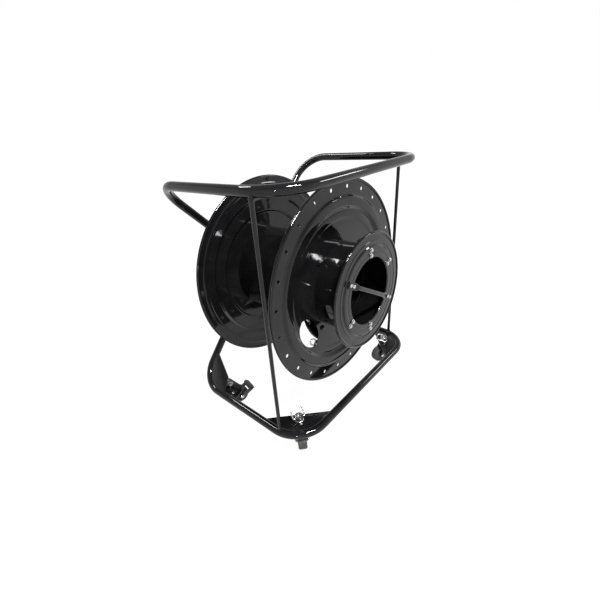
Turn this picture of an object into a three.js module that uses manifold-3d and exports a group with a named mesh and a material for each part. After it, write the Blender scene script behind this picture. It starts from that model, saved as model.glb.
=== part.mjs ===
// Portable cable drum reel: a hand-turned sheet-steel drum hung on a stub spindle
// in a bent-tube carrying frame with four swivel castors.
// Millimetres, +Z up. The drum turns about the Y axis direction; its open mouth faces -Y.
// The origin is on the floor, under the middle of the reel.
import * as THREE from 'three';
import { mergeVertices } from 'three/addons/utils/BufferGeometryUtils.js';
import Module from 'manifold-3d';

const wasm = await Module();
wasm.setup();

// ---------------------------------------------------------------- driving dimensions
const GAP = 0.3;                 // clearance left between neighbouring pieces
const AXLE_HEIGHT = 314;         // spindle centre above the floor

const TUBE_RADIUS = 9.5;         // 19 mm frame tube
const TUBE_WALL = 2;
const UPPER = { halfWidth: 235, height: 245, front: -178.5, rear: 172, frontBend: 82, rearBend: 70 };
const LOWER = { halfWidth: 239.5, height: -259, front: -167.5, rear: 176, frontBend: 74, rearBend: 61 };
const STRUT = { radius: 4, topX: 237, topY: -119, footX: 239.5, footY: -108 };

const FLANGE_RADIUS = 230;       // both big flanges
const REAR_FLANGE_Y = 115;
const FRONT_FLANGE_Y = -112;
const SHEET = 2.4;               // pressed sheet, measured along the axle
const RIM_HOLES = { count: 24, radius: 4, pitchRadius: 211.6, firstAngle: 7.5 };
const PASS_HOLE = { pitchRadius: 140, angle: 209.5, halfRadial: 25, halfTangential: 42 };

const CORE_RADIUS = 104;         // winding core
const CONE = { smallRadius: 104.4, bigRadius: 136, smallY: -53, bigY: -106.6 };
const SHELL_RADIUS = 97;         // plug compartment in front of the front flange
const SMALL_FLANGE = { radius: 128, y: -184.5, mouthRadius: 72.5 };
const MOUTH_BOLTS = { pairs: 6, innerRadius: 80.5, outerRadius: 92, firstAngle: 30 };
const CORE_BOLTS = { count: 8, radius: 109, firstAngle: 0 };

const HUB = { bossRadius: 36, bossFront: 160, bossRear: 188.2, capRear: 191 };
const SPINDLE_RADIUS = 15;
const SPINDLE_BOLTS = { count: 4, radius: 25, shank: 3, head: 5.5, firstAngle: 0 };
const BEARING = { outerRadius: 26, width: 14, rearY: 128, frontY: 49 };
const BEARING_TUBE = { inner: 26.3, outer: 30, front: 46, rear: 144 };
const BRAKE = { z: 88, screwRadius: 4, padRadius: 11, travel: 1.25 };

const PLATE = { bottom: 55, top: 59 };                    // corner plates, above the floor
const GUSSET_LEG = 108;                                   // front gussets, along each tube
const CASTOR = { wheelRadius: 22, wheelHalfWidth: 10, trail: 20, crownRadius: 14, stemRadius: 5 };
const FRONT_CASTOR = { x: 190, y: -120 };
const REAR_CASTOR = { x: 210, y: 100 };
const CASTORS = [                                         // heading: where each wheel trails
  { name: 'front_left', x: -FRONT_CASTOR.x, y: FRONT_CASTOR.y, heading: 228 },
  { name: 'front_right', x: FRONT_CASTOR.x, y: FRONT_CASTOR.y, heading: 165 },
  { name: 'rear_left', x: -REAR_CASTOR.x, y: REAR_CASTOR.y, heading: 347 },
  { name: 'rear_right', x: REAR_CASTOR.x, y: REAR_CASTOR.y, heading: 200 },
];
const BAIL = { wire: 1.5, halfWidth: 14, length: 20, pivotHeight: 66 };

// ---------------------------------------------------------------- materials
const paint = new THREE.MeshStandardMaterial({ color: 0x101012, roughness: 0.18, metalness: 0.2 });
const zinc = new THREE.MeshStandardMaterial({ color: 0xb9bbbd, roughness: 0.35, metalness: 1 });
const steel = new THREE.MeshStandardMaterial({ color: 0x8f9194, roughness: 0.3, metalness: 1 });
const plastic = new THREE.MeshStandardMaterial({ color: 0x161617, roughness: 0.5, metalness: 0 });
const rubber = new THREE.MeshStandardMaterial({ color: 0x1c1c1d, roughness: 0.75, metalness: 0 });

// ---------------------------------------------------------------- geometry helpers
const radians = THREE.MathUtils.degToRad;

/** A closed three.js geometry as a manifold solid. */
function solid(geometry) {
  const bare = geometry.clone();
  bare.deleteAttribute('normal');
  bare.deleteAttribute('uv');
  const merged = mergeVertices(bare, 1e-4);
  const index = Uint32Array.from(merged.index.array);
  const vertices = Float32Array.from(merged.attributes.position.array);
  return new wasm.Manifold(new wasm.Mesh({ numProp: 3, vertProperties: vertices, triVerts: index }));
}

/** A manifold solid as a three.js geometry. */
function geometryOf(body) {
  const data = body.getMesh();
  const geometry = new THREE.BufferGeometry();
  geometry.setAttribute('position', new THREE.BufferAttribute(data.vertProperties, 3));
  geometry.setIndex(new THREE.BufferAttribute(data.triVerts, 1));
  geometry.computeVertexNormals();
  return geometry;
}

function cut(geometry, ...tools) {
  return geometryOf(tools.reduce((body, tool) => body.subtract(solid(tool)), solid(geometry)));
}

function join(...pieces) {
  return geometryOf(pieces.slice(1).reduce((body, piece) => body.add(solid(piece)), solid(pieces[0])));
}

/** A ring or disc turned about the Y axis from a closed outline of [radius, y] points. */
function turned(outline, segments = 28) {
  let area = 0;
  outline.forEach(([r, y], i) => {
    const [nextR, nextY] = outline[(i + 1) % outline.length];
    area += r * nextY - nextR * y;
  });
  const points = (area > 0 ? outline : [...outline].reverse()).map(([r, y]) => new THREE.Vector2(r, y));
  points.push(points[0].clone());
  return new THREE.LatheGeometry(points, segments);
}

/** A turned piece that is solid on its axis, from a list of [radius, y] steps with rising y. */
function shaft(steps, segments = 20) {
  const points = [[0, steps[0][1]], ...steps, [0, steps[steps.length - 1][1]]];
  return new THREE.LatheGeometry(points.map(([r, y]) => new THREE.Vector2(r, y)), segments);
}

function arc(centreR, centreY, radius, from, to, steps) {
  return Array.from({ length: steps + 1 }, (_, i) => {
    const angle = radians(from + ((to - from) * i) / steps);
    return [centreR + radius * Math.cos(angle), centreY + radius * Math.sin(angle)];
  });
}

/** Pressed sheet: [radius, y] points of its front face from the hole outwards, then a rolled rim. */
function pressed(face, rimRadius, beadRadius, segments) {
  const rimY = face[face.length - 1][1] + SHEET / 2;
  const bead = arc(rimRadius - beadRadius, rimY, beadRadius, -140, 140, 4);
  const back = face.map(([r, y]) => [r, y + SHEET]).reverse();
  return turned([...face, ...bead, ...back], segments);
}

/** A pin or hole tool along Y at a polar place around the spindle. */
function pinAlongY(radius, fromY, toY, pitchRadius, angle, sides = 8) {
  const pin = new THREE.CylinderGeometry(radius, radius, toY - fromY, sides);
  pin.translate(
    pitchRadius * Math.cos(radians(angle)), (fromY + toY) / 2, pitchRadius * Math.sin(radians(angle)),
  );
  return pin;
}

function aroundRing(count, firstAngle, make) {
  return Array.from({ length: count }, (_, i) => make(firstAngle + (360 * i) / count));
}

/** A prism from an outline in the XY plane, between two heights. */
function plateGeometry(points, bottom, top) {
  const shape = new THREE.Shape(points.map(([x, y]) => new THREE.Vector2(x, y)));
  const plate = new THREE.ExtrudeGeometry(shape, { depth: top - bottom, bevelEnabled: false });
  plate.translate(0, 0, bottom);
  return plate;
}

/** A centre line through corner points, with an arc of the given radius at each inner corner. */
class BentLine extends THREE.Curve {
  constructor(corners, bendRadii, stepsPerBend) {
    super();
    this.stations = [{ point: corners[0], tangent: corners[1].clone().sub(corners[0]).normalize() }];
    bendRadii.forEach((radius, i) => this.addBend(corners.slice(i, i + 3), radius, stepsPerBend));
    const last = corners.length - 1;
    const tangent = corners[last].clone().sub(corners[last - 1]).normalize();
    this.stations.push({ point: corners[last], tangent });
  }

  addBend([before, corner, after], radius, steps) {
    const into = corner.clone().sub(before).normalize();
    const out = after.clone().sub(corner).normalize();
    const turn = into.angleTo(out);
    const setback = radius * Math.tan(turn / 2);
    const start = corner.clone().addScaledVector(into, -setback);
    const inward = out.clone().addScaledVector(into, -out.dot(into)).normalize();
    const centre = start.clone().addScaledVector(inward, radius);
    for (let i = 0; i <= steps; i += 1) {
      const angle = (turn * i) / steps;
      const point = centre.clone()
        .addScaledVector(into, radius * Math.sin(angle))
        .addScaledVector(inward, -radius * Math.cos(angle));
      const tangent = into.clone().multiplyScalar(Math.cos(angle)).addScaledVector(inward, Math.sin(angle));
      this.stations.push({ point, tangent });
    }
  }

  get steps() {
    return this.stations.length - 1;
  }

  getPoint(t) {
    return this.stations[Math.round(t * this.steps)].point.clone();
  }

  getTangent(t) {
    return this.stations[Math.round(t * this.steps)].tangent.clone();
  }

  getPointAt(t) {
    return this.getPoint(t);
  }

  getTangentAt(t) {
    return this.getTangent(t);
  }
}

function circleShape(radius, sides) {
  const points = Array.from({ length: sides }, (_, i) => {
    const angle = (2 * Math.PI * i) / sides;
    return new THREE.Vector2(radius * Math.cos(angle), radius * Math.sin(angle));
  });
  return new THREE.Shape(points);
}

function tubeAlong(line, radius, wall, sides = 10) {
  const section = circleShape(radius, sides);
  if (wall) {
    section.holes.push(new THREE.Path(circleShape(radius - wall, sides).getPoints().reverse()));
  }
  return new THREE.ExtrudeGeometry(section, { steps: line.steps, extrudePath: line, bevelEnabled: false });
}

// ---------------------------------------------------------------- assembly
const reel = new THREE.Group();
const drumAxis = new THREE.Group();      // everything measured from the spindle centre
drumAxis.position.z = AXLE_HEIGHT;
reel.add(drumAxis);

function place(name, geometry, material, parent) {
  const mesh = new THREE.Mesh(geometry, material);
  mesh.name = name;
  parent.add(mesh);
  return mesh;
}

// ---------------------------------------------------------------- tube frame
/** One frame loop: hub, rear diagonal, side arm, front bar, side arm, rear diagonal, hub. */
function frameLine({ halfWidth, height, front, rear, frontBend, rearBend }) {
  const reach = Math.hypot(halfWidth, height);
  const end = (HUB.bossRadius + GAP + 0.4) / reach;
  const corner = (side, y) => new THREE.Vector3(side * halfWidth, y, height);
  const corners = [
    new THREE.Vector3(-halfWidth * end, rear, height * end),
    corner(-1, rear), corner(-1, front), corner(1, front), corner(1, rear),
    new THREE.Vector3(halfWidth * end, rear, height * end),
  ];
  return new BentLine(corners, [rearBend, frontBend, frontBend, rearBend], 4);
}

const upperLine = frameLine(UPPER);
const lowerLine = frameLine(LOWER);
const upperClearance = tubeAlong(upperLine, TUBE_RADIUS + GAP);
const lowerClearance = tubeAlong(lowerLine, TUBE_RADIUS + GAP);

function strutRod(side) {
  const top = new THREE.Vector3(side * STRUT.topX, STRUT.topY, UPPER.height);
  const foot = new THREE.Vector3(side * STRUT.footX, STRUT.footY, LOWER.height);
  const rod = tubeAlong(new BentLine([foot, top], [], 0), STRUT.radius, 0, 10);
  return cut(rod, upperClearance, lowerClearance);
}

function addFrame() {
  place('upper_frame', tubeAlong(upperLine, TUBE_RADIUS, TUBE_WALL), paint, drumAxis);
  place('lower_frame', tubeAlong(lowerLine, TUBE_RADIUS, TUBE_WALL), paint, drumAxis);
  place('strut_rod_left', strutRod(-1), paint, drumAxis);
  place('strut_rod_right', strutRod(1), paint, drumAxis);
}

// ---------------------------------------------------------------- rear hub and spindle

function boltAlongY({ headY, headThickness, shankEndY, shank, head, pitchRadius, angle }) {
  const towardsHead = Math.sign(headY - shankEndY);
  const headEnd = headY + towardsHead * headThickness;
  const [lowHead, highHead] = [Math.min(headY, headEnd), Math.max(headY, headEnd)];
  const [lowShank, highShank] = [Math.min(shankEndY, headY + towardsHead), Math.max(shankEndY, headY + towardsHead)];
  return join(
    pinAlongY(head, lowHead, highHead, pitchRadius, angle, 6),
    pinAlongY(shank, lowShank, highShank, pitchRadius, angle, 4),
  );
}

function addHub() {
  const { bossRadius, bossFront, bossRear, capRear } = HUB;
  const bore = SPINDLE_RADIUS + GAP;
  const boltHoles = (from, to) => aroundRing(SPINDLE_BOLTS.count, SPINDLE_BOLTS.firstAngle,
    (angle) => pinAlongY(SPINDLE_BOLTS.shank + 0.5, from, to, SPINDLE_BOLTS.radius, angle, 4));

  const boss = turned([[bore, bossFront], [bossRadius, bossFront], [bossRadius, bossRear - 2],
    [bossRadius - 2, bossRear], [bore, bossRear]], 20);
  place('hub_boss', cut(boss, ...boltHoles(bossFront - 1, bossFront + 13)), paint, drumAxis);

  const plate = new THREE.ExtrudeGeometry(
    new THREE.Shape([[-58, -58], [58, -58], [58, 58], [24, 108], [-24, 108], [-58, 58]]
      .map(([x, z]) => new THREE.Vector2(x, z))),
    { depth: 4.5, bevelEnabled: false },
  );
  plate.rotateX(Math.PI / 2);                       // the outline now stands in XZ
  plate.translate(0, bossFront + 4.5, 0);
  const bossClearance = pinAlongY(bossRadius + GAP, bossFront - 1, bossFront + 6, 0, 0, 20);
  const nutHole = pinAlongY(8, bossFront - 1, bossFront + 6, BRAKE.z, 90, 6);
  place('hub_plate', cut(plate, bossClearance, nutHole, lowerClearance, upperClearance), paint, drumAxis);

  const cap = shaft([[24, bossRear + GAP], [24, capRear - 1], [22, capRear]]);
  place('hub_cap', cap, plastic, drumAxis);

  const spindle = shaft([[8, 32], [8, 46], [SPINDLE_RADIUS, 46], [SPINDLE_RADIUS, 152],
    [34, 152], [34, bossFront - GAP], [SPINDLE_RADIUS, bossFront - GAP], [SPINDLE_RADIUS, bossRear - 1]]);
  place('spindle', cut(spindle, ...boltHoles(150, 162)), steel, drumAxis);

  const bolts = aroundRing(SPINDLE_BOLTS.count, SPINDLE_BOLTS.firstAngle, (angle) => boltAlongY({
    headY: 152 - GAP - 1.2, headThickness: 3.5, shankEndY: 172, shank: SPINDLE_BOLTS.shank,
    head: SPINDLE_BOLTS.head, pitchRadius: SPINDLE_BOLTS.radius, angle,
  }));
  const lockPlate = turned([[19.5, 150.4], [30.5, 150.4], [30.5, 152 - GAP], [19.5, 152 - GAP]], 20);
  place('spindle_bolt_ring', join(lockPlate, ...bolts), zinc, drumAxis);
  place('spindle_washer', turned([[8.3, 43.4], [20, 43.4], [20, 45.7], [8.3, 45.7]], 20), zinc, drumAxis);
  place('spindle_nut', cut(pinAlongY(13.5, 33, 43.1, 0, 0, 6), pinAlongY(8.3, 32, 45, 0, 0, 24)),
    zinc, drumAxis);
}

// ---------------------------------------------------------------- friction brake on the hub plate
function addBrake() {
  const rearFace = REAR_FLANGE_Y + 10.5 + SHEET;    // back of the rear flange where the pad bears
  const padFront = rearFace + BRAKE.travel + GAP;
  const lift = (geometry) => geometry.translate(0, 0, BRAKE.z);

  const pad = shaft([[BRAKE.padRadius, padFront], [BRAKE.padRadius, padFront + 5]]);
  place('brake_pad', lift(pad), rubber, drumAxis);

  const screw = shaft([[7, padFront + 5 + GAP], [7, padFront + 8], [BRAKE.screwRadius, padFront + 8],
    [BRAKE.screwRadius, 176]], 16);
  place('brake_screw', lift(screw), zinc, drumAxis);

  const nut = cut(pinAlongY(7.4, HUB.bossFront - 2, HUB.bossFront + 8, 0, 0, 6),
    pinAlongY(BRAKE.screwRadius + GAP, HUB.bossFront - 3, HUB.bossFront + 9, 0, 0, 16));
  place('brake_nut', lift(nut), zinc, drumAxis);

  const lobes = aroundRing(5, 90, (angle) => pinAlongY(6, 173, 187, 13, angle, 8));
  const knob = join(pinAlongY(13, 173, 188, 0, 0, 15), ...lobes);
  place('brake_knob', lift(cut(knob, pinAlongY(BRAKE.screwRadius + GAP, 172, 176.3, 0, 0, 16))),
    plastic, drumAxis);
}

// ---------------------------------------------------------------- drum
function addDrum() {
  const rearFace = [[BEARING_TUBE.outer + GAP, REAR_FLANGE_Y + 10.5], [141, REAR_FLANGE_Y + 10.5],
    [146, REAR_FLANGE_Y + 5], [178, REAR_FLANGE_Y + 5], [184, REAR_FLANGE_Y], [225, REAR_FLANGE_Y]];
  place('rear_flange', pressed(rearFace, FLANGE_RADIUS, 3.5, 30), paint, drumAxis);

  const frontFace = [[SHELL_RADIUS - SHEET, FRONT_FLANGE_Y + 2.6], [166, FRONT_FLANGE_Y + 2.6],
    [172, FRONT_FLANGE_Y - 4], [191, FRONT_FLANGE_Y - 4], [196, FRONT_FLANGE_Y], [225, FRONT_FLANGE_Y]];
  const rimHoles = aroundRing(RIM_HOLES.count, RIM_HOLES.firstAngle, (angle) => pinAlongY(
    RIM_HOLES.radius, FRONT_FLANGE_Y - 2, FRONT_FLANGE_Y + 5, RIM_HOLES.pitchRadius, angle, 5));
  const boltHoles = (from, to) => aroundRing(CORE_BOLTS.count, CORE_BOLTS.firstAngle,
    (angle) => pinAlongY(3.5, from, to, CORE_BOLTS.radius, angle, 4));
  const passHole = new THREE.CylinderGeometry(1, 1, 20, 20);
  passHole.scale(PASS_HOLE.halfRadial, 1, PASS_HOLE.halfTangential);
  passHole.translate(PASS_HOLE.pitchRadius, FRONT_FLANGE_Y, 0);
  passHole.rotateY(-radians(PASS_HOLE.angle));
  place('front_flange', cut(pressed(frontFace, FLANGE_RADIUS, 3.5, 30), ...rimHoles,
    ...boltHoles(-112, -105), passHole), paint, drumAxis);

  const coreFront = FRONT_FLANGE_Y + 2.6 + SHEET + GAP;
  const coreRear = REAR_FLANGE_Y + 10.5 - GAP;
  const inner = CORE_RADIUS - SHEET;
  const core = turned([[inner, coreFront], [114, coreFront], [114, coreFront + SHEET],
    [CORE_RADIUS, coreFront + SHEET], [CORE_RADIUS, coreRear], [inner, coreRear]], 24);
  place('drum_core', cut(core, ...boltHoles(coreFront - 1, coreFront + 4)), paint, drumAxis);

  const cone = turned([[CONE.smallRadius, CONE.smallY], [110, -73], [120, -92], [CONE.bigRadius, CONE.bigY],
    [CONE.bigRadius - 4, CONE.bigY], [116.4, -91], [106.9, -73], [CONE.smallRadius, -60]], 24);
  place('core_cone', cone, paint, drumAxis);

  const partitionY = BEARING_TUBE.front - 3;
  place('core_partition', turned([[BEARING_TUBE.inner, partitionY], [inner - GAP, partitionY],
    [inner - GAP, partitionY + 2.6], [BEARING_TUBE.inner, partitionY + 2.6]], 24), paint, drumAxis);

  const { inner: tubeInner, outer: tubeOuter, front, rear } = BEARING_TUBE;
  place('bearing_tube', turned([[tubeInner, front], [tubeOuter, front], [tubeOuter, rear],
    [tubeInner, rear]], 20), paint, drumAxis);
  [['rear_bearing', BEARING.rearY], ['front_bearing', BEARING.frontY]].forEach(([name, y]) => {
    const ring = turned([[SPINDLE_RADIUS + GAP, y], [BEARING.outerRadius, y],
      [BEARING.outerRadius, y + BEARING.width], [SPINDLE_RADIUS + GAP, y + BEARING.width]], 20);
    place(name, ring, steel, drumAxis);
  });

  const coreBolts = aroundRing(CORE_BOLTS.count, CORE_BOLTS.firstAngle, (angle) => boltAlongY({
    headY: FRONT_FLANGE_Y + 2.6 - GAP, headThickness: 4, shankEndY: coreFront + SHEET + 5,
    shank: 3, head: 5.5, pitchRadius: CORE_BOLTS.radius, angle,
  }));
  const backing = coreFront + SHEET + GAP;
  const ring = turned([[CORE_RADIUS + GAP, backing], [113.5, backing], [113.5, backing + 1.6],
    [CORE_RADIUS + GAP, backing + 1.6]], 24);
  place('core_bolt_ring', join(ring, ...coreBolts), zinc, drumAxis);
}

// ---------------------------------------------------------------- plug compartment at the front
function addCompartment() {
  const flangeBack = SMALL_FLANGE.y + SHEET;
  const mouthHoles = (from, to) => [MOUTH_BOLTS.innerRadius, MOUTH_BOLTS.outerRadius].flatMap(
    (radius) => aroundRing(MOUTH_BOLTS.pairs, MOUTH_BOLTS.firstAngle,
      (angle) => pinAlongY(2.9, from, to, radius, angle, 4)));

  const shellFront = flangeBack + GAP;
  const shell = turned([[SHELL_RADIUS - SHEET, shellEnd()], [SHELL_RADIUS, shellEnd()], [SHELL_RADIUS, shellFront],
    [77.2, shellFront], [77.2, shellFront + SHEET], [SHELL_RADIUS - SHEET, shellFront + SHEET]], 24);
  place('compartment_shell', cut(shell, ...mouthHoles(shellFront - 1, shellFront + 4)), paint, drumAxis);

  const beadRadius = 3;
  const face = [[SMALL_FLANGE.mouthRadius + 2, SMALL_FLANGE.y], [98, SMALL_FLANGE.y],
    [102, SMALL_FLANGE.y + 3], [SMALL_FLANGE.radius - 4.5, SMALL_FLANGE.y + 3]];
  const rim = arc(SMALL_FLANGE.radius - beadRadius, SMALL_FLANGE.y + 3 + SHEET / 2, beadRadius, -140, 140, 3);
  const back = [[77, SMALL_FLANGE.y], ...face.slice(1)].map(([r, y]) => [r, y + SHEET]).reverse();
  const lip = arc(SMALL_FLANGE.mouthRadius + 2, SMALL_FLANGE.y + SHEET / 2 + 0.5, 2, 120, 240, 2);
  const flange = turned([...face, ...rim, ...back, ...lip], 24);
  place('small_flange', cut(flange, ...mouthHoles(SMALL_FLANGE.y - 2, SMALL_FLANGE.y + 4)), paint, drumAxis);

  const tabThickness = 2.4;
  const barAngle = 150;
  const bolts = [MOUTH_BOLTS.innerRadius, MOUTH_BOLTS.outerRadius].flatMap(
    (pitchRadius) => aroundRing(MOUTH_BOLTS.pairs, MOUTH_BOLTS.firstAngle, (angle) => {
      const underBar = Math.abs((angle % 180) - barAngle) < 1;
      return boltAlongY({
        headY: SMALL_FLANGE.y - GAP - (underBar ? tabThickness + GAP : 0), headThickness: 3.5,
        shankEndY: shellFront + SHEET + 3, shank: 2.4, head: 4.4, pitchRadius, angle,
      });
    }));
  const backing = shellFront + SHEET + GAP;
  const ring = turned([[77, backing], [94, backing], [94, backing + 1.6], [77, backing + 1.6]], 24);
  place('mouth_bolt_ring', join(ring, ...bolts), zinc, drumAxis);

  const tabY = SMALL_FLANGE.y - GAP;
  const strap = new THREE.BoxGeometry(2 * 98, tabThickness, 15);
  strap.translate(0, tabY - tabThickness / 2, 0);
  const grip = new THREE.CylinderGeometry(6, 6, 2 * 62, 14);
  grip.rotateZ(Math.PI / 2);
  grip.translate(0, tabY - 1.2 + 1.5, 0);
  const bar = join(strap, grip);
  bar.rotateY(-radians(barAngle));
  const tabHoles = [barAngle, barAngle + 180].flatMap((angle) => [MOUTH_BOLTS.innerRadius,
    MOUTH_BOLTS.outerRadius].map((radius) => pinAlongY(2.9, tabY - 4, tabY + 1, radius, angle, 4)));
  place('grip_bar', cut(bar, ...tabHoles), paint, drumAxis);
}

/** Rear edge of the plug compartment's shell, which butts against the front flange. */
function shellEnd() {
  return FRONT_FLANGE_Y + 2.6 - GAP;
}

function addCableAnchor() {
  const base = new THREE.BoxGeometry(16, 2.4, 14);
  const baseY = FRONT_FLANGE_Y + 2.6 + SHEET + GAP + 1.2;
  base.translate(0, baseY, 0);
  const ring = new THREE.TorusGeometry(7, 1.6, 5, 10);
  ring.translate(0, baseY + 1.2 + 8, 0);
  const anchor = join(base, ring);
  anchor.translate(146, 0, 0);
  anchor.rotateY(-radians(228));
  place('cable_anchor', anchor, zinc, drumAxis);
}

// ---------------------------------------------------------------- corner plates
function addCornerPlates() {
  const lowerTube = lowerClearance.clone().translate(0, 0, AXLE_HEIGHT);
  [['left', -1], ['right', 1]].forEach(([name, side]) => {
    const { halfWidth, front, frontBend } = LOWER;
    const bendCentre = [halfWidth - frontBend, front + frontBend];
    const bend = arc(bendCentre[0], bendCentre[1], frontBend, 0, -90, 6);
    const outline = [[halfWidth, front + GUSSET_LEG], ...bend, [halfWidth - GUSSET_LEG, front]];
    const gusset = plateGeometry(outline.map(([x, y]) => [side * x, y]), PLATE.bottom, PLATE.top);
    const stemHole = new THREE.CylinderGeometry(5.4, 5.4, 20, 12).rotateX(Math.PI / 2);
    stemHole.translate(side * FRONT_CASTOR.x, FRONT_CASTOR.y, PLATE.top);
    place(`gusset_front_${name}`, cut(gusset, lowerTube, stemHole), paint, reel);

    const rearOutline = [[halfWidth, 52], [halfWidth - 36, 60], [halfWidth - 48, 76],
      [halfWidth - 48, 128], [halfWidth - 30, 148], [halfWidth, 148]];
    const rearPlate = plateGeometry(rearOutline.map(([x, y]) => [side * x, y]), PLATE.bottom, PLATE.top);
    const rearHole = new THREE.CylinderGeometry(5.4, 5.4, 20, 12).rotateX(Math.PI / 2);
    rearHole.translate(side * REAR_CASTOR.x, REAR_CASTOR.y, PLATE.top);
    place(`castor_plate_rear_${name}`, cut(rearPlate, lowerTube, rearHole), paint, reel);
    place(`rear_gusset_${name}`, rearGusset(side), paint, drumAxis);
  });
}

/** Triangular web inside the lower rear bend, in the bend's own sloping plane. */
function rearGusset(side) {
  const { halfWidth, height, rear, rearBend } = LOWER;
  const bend = arc(rearBend, rear - rearBend, rearBend, 180, 90, 6);
  const outline = [[0, rear - 92], ...bend, [92, rear], [44, rear - 92 + 14]];
  const shape = new THREE.Shape(outline.map(([along, y]) => new THREE.Vector2(along, y)));
  const web = new THREE.ExtrudeGeometry(shape, { depth: 4, bevelEnabled: false });
  web.translate(0, 0, -5);
  const reach = Math.hypot(halfWidth, height);
  const along = new THREE.Vector3(-halfWidth / reach, 0, -height / reach);
  const normal = new THREE.Vector3().crossVectors(along, new THREE.Vector3(0, 1, 0));
  const frame = new THREE.Matrix4().makeBasis(along, new THREE.Vector3(0, 1, 0), normal);
  web.applyMatrix4(frame);
  web.translate(halfWidth, 0, height);
  const rightWeb = cut(web, lowerClearance, castorPlateClearance());
  return side > 0 ? rightWeb : mirrored(rightWeb);
}

function castorPlateClearance() {
  const box = new THREE.BoxGeometry(120, 200, 24);
  box.translate(LOWER.halfWidth - 40, REAR_CASTOR.y, PLATE.top + GAP - 12 - AXLE_HEIGHT);
  return box;
}

function mirrored(geometry) {
  const copy = geometry.clone().scale(-1, 1, 1);
  const index = copy.index.array;
  for (let i = 0; i < index.length; i += 3) {
    [index[i], index[i + 1]] = [index[i + 1], index[i]];
  }
  copy.computeVertexNormals();
  return copy;
}

// ---------------------------------------------------------------- castors
/** A turned piece standing along Z, from [radius, z] points. */
function upright(outline, segments) {
  return turned(outline, segments).rotateX(Math.PI / 2);
}

/** A flat cheek in the castor's trail plane, between two side offsets. */
function cheek(points, from, to) {
  const shape = new THREE.Shape(points.map(([t, z]) => new THREE.Vector2(t, z)));
  const plate = new THREE.ExtrudeGeometry(shape, { depth: to - from, bevelEnabled: false });
  plate.rotateX(Math.PI / 2);
  return plate.translate(0, to, 0);
}

function addCastor({ name, x, y, heading }) {
  const castor = new THREE.Group();
  castor.position.set(x, y, 0);
  castor.rotation.z = radians(heading);
  reel.add(castor);
  const { wheelRadius, wheelHalfWidth, trail, crownRadius, stemRadius } = CASTOR;
  const headTop = PLATE.bottom - GAP;
  const headBottom = headTop - 3;
  const crownTop = headBottom - 0.5;
  const stemTop = name.startsWith('front') ? 68 : 66;

  const stem = shaft([[13, headBottom], [13, headTop], [stemRadius, headTop], [stemRadius, stemTop]], 12)
    .rotateX(Math.PI / 2);
  place(`castor_stem_${name}`, stem, zinc, castor);

  const crown = shaft([[crownRadius, crownTop - 4], [crownRadius, crownTop]], 12).rotateX(Math.PI / 2);
  const cheekOutline = [[-8, crownTop - 1], [7, crownTop - 1], [9, 44], [23, 32], [26, 24], [24, 16],
    [14, 15], [-7, 40]];
  const axleHole = new THREE.CylinderGeometry(3.4, 3.4, 40, 8).translate(trail, 0, wheelRadius);
  const fork = cut(join(crown, cheek(cheekOutline, 11.2, 13.4), cheek(cheekOutline, -13.4, -11.2)), axleHole);
  place(`castor_fork_${name}`, fork, zinc, castor);

  const wheel = turned([[3.4, -wheelHalfWidth - 0.8], [7, -wheelHalfWidth - 0.8], [8, -wheelHalfWidth], [wheelRadius - 2, -wheelHalfWidth],
    [wheelRadius, -wheelHalfWidth + 2.5], [wheelRadius, wheelHalfWidth - 2.5],
    [wheelRadius - 2, wheelHalfWidth], [8, wheelHalfWidth], [7, wheelHalfWidth + 0.8],
    [3.4, wheelHalfWidth + 0.8]], 16);
  wheel.translate(trail, 0, wheelRadius);
  place(`castor_wheel_${name}`, wheel, rubber, castor);

  const headAt = name.startsWith('rear') ? 16.2 : 13.7;
  const axle = join(new THREE.CylinderGeometry(3, 3, 2 * headAt + 2, 8),
    new THREE.CylinderGeometry(5, 5, 3, 6).translate(0, headAt + 1.5, 0),
    new THREE.CylinderGeometry(5, 5, 3, 6).translate(0, -headAt - 1.5, 0));
  axle.translate(trail, 0, wheelRadius);
  place(`castor_axle_${name}`, axle, zinc, castor);

  if (name.startsWith('rear')) {
    addBrakePedal(castor, name, axleHole);
  }
}

function addBrakePedal(castor, name, axleHole) {
  const arm = [[15, 18], [23, 15], [56, 29], [52, 37], [18, 27]];
  const tread = [[45, 26], [58, 30], [56, 36.5], [48, 41.5], [43, 38]];
  const pedal = join(cheek(arm, 13.7, 15.9), cheek(arm, -15.9, -13.7), cheek(tread, -15.9, 15.9));
  place(`castor_pedal_${name}`, cut(pedal, axleHole), plastic, castor);
}

// ---------------------------------------------------------------- stem nuts and latch bails
function nutRing(x, y, radius, bottom, top, sides) {
  const bore = (CASTOR.stemRadius + GAP) / Math.cos(Math.PI / sides);
  const nut = upright([[bore, bottom], [radius, bottom], [radius, top], [bore, top]], sides);
  return nut.translate(x, y, 0);
}

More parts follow.
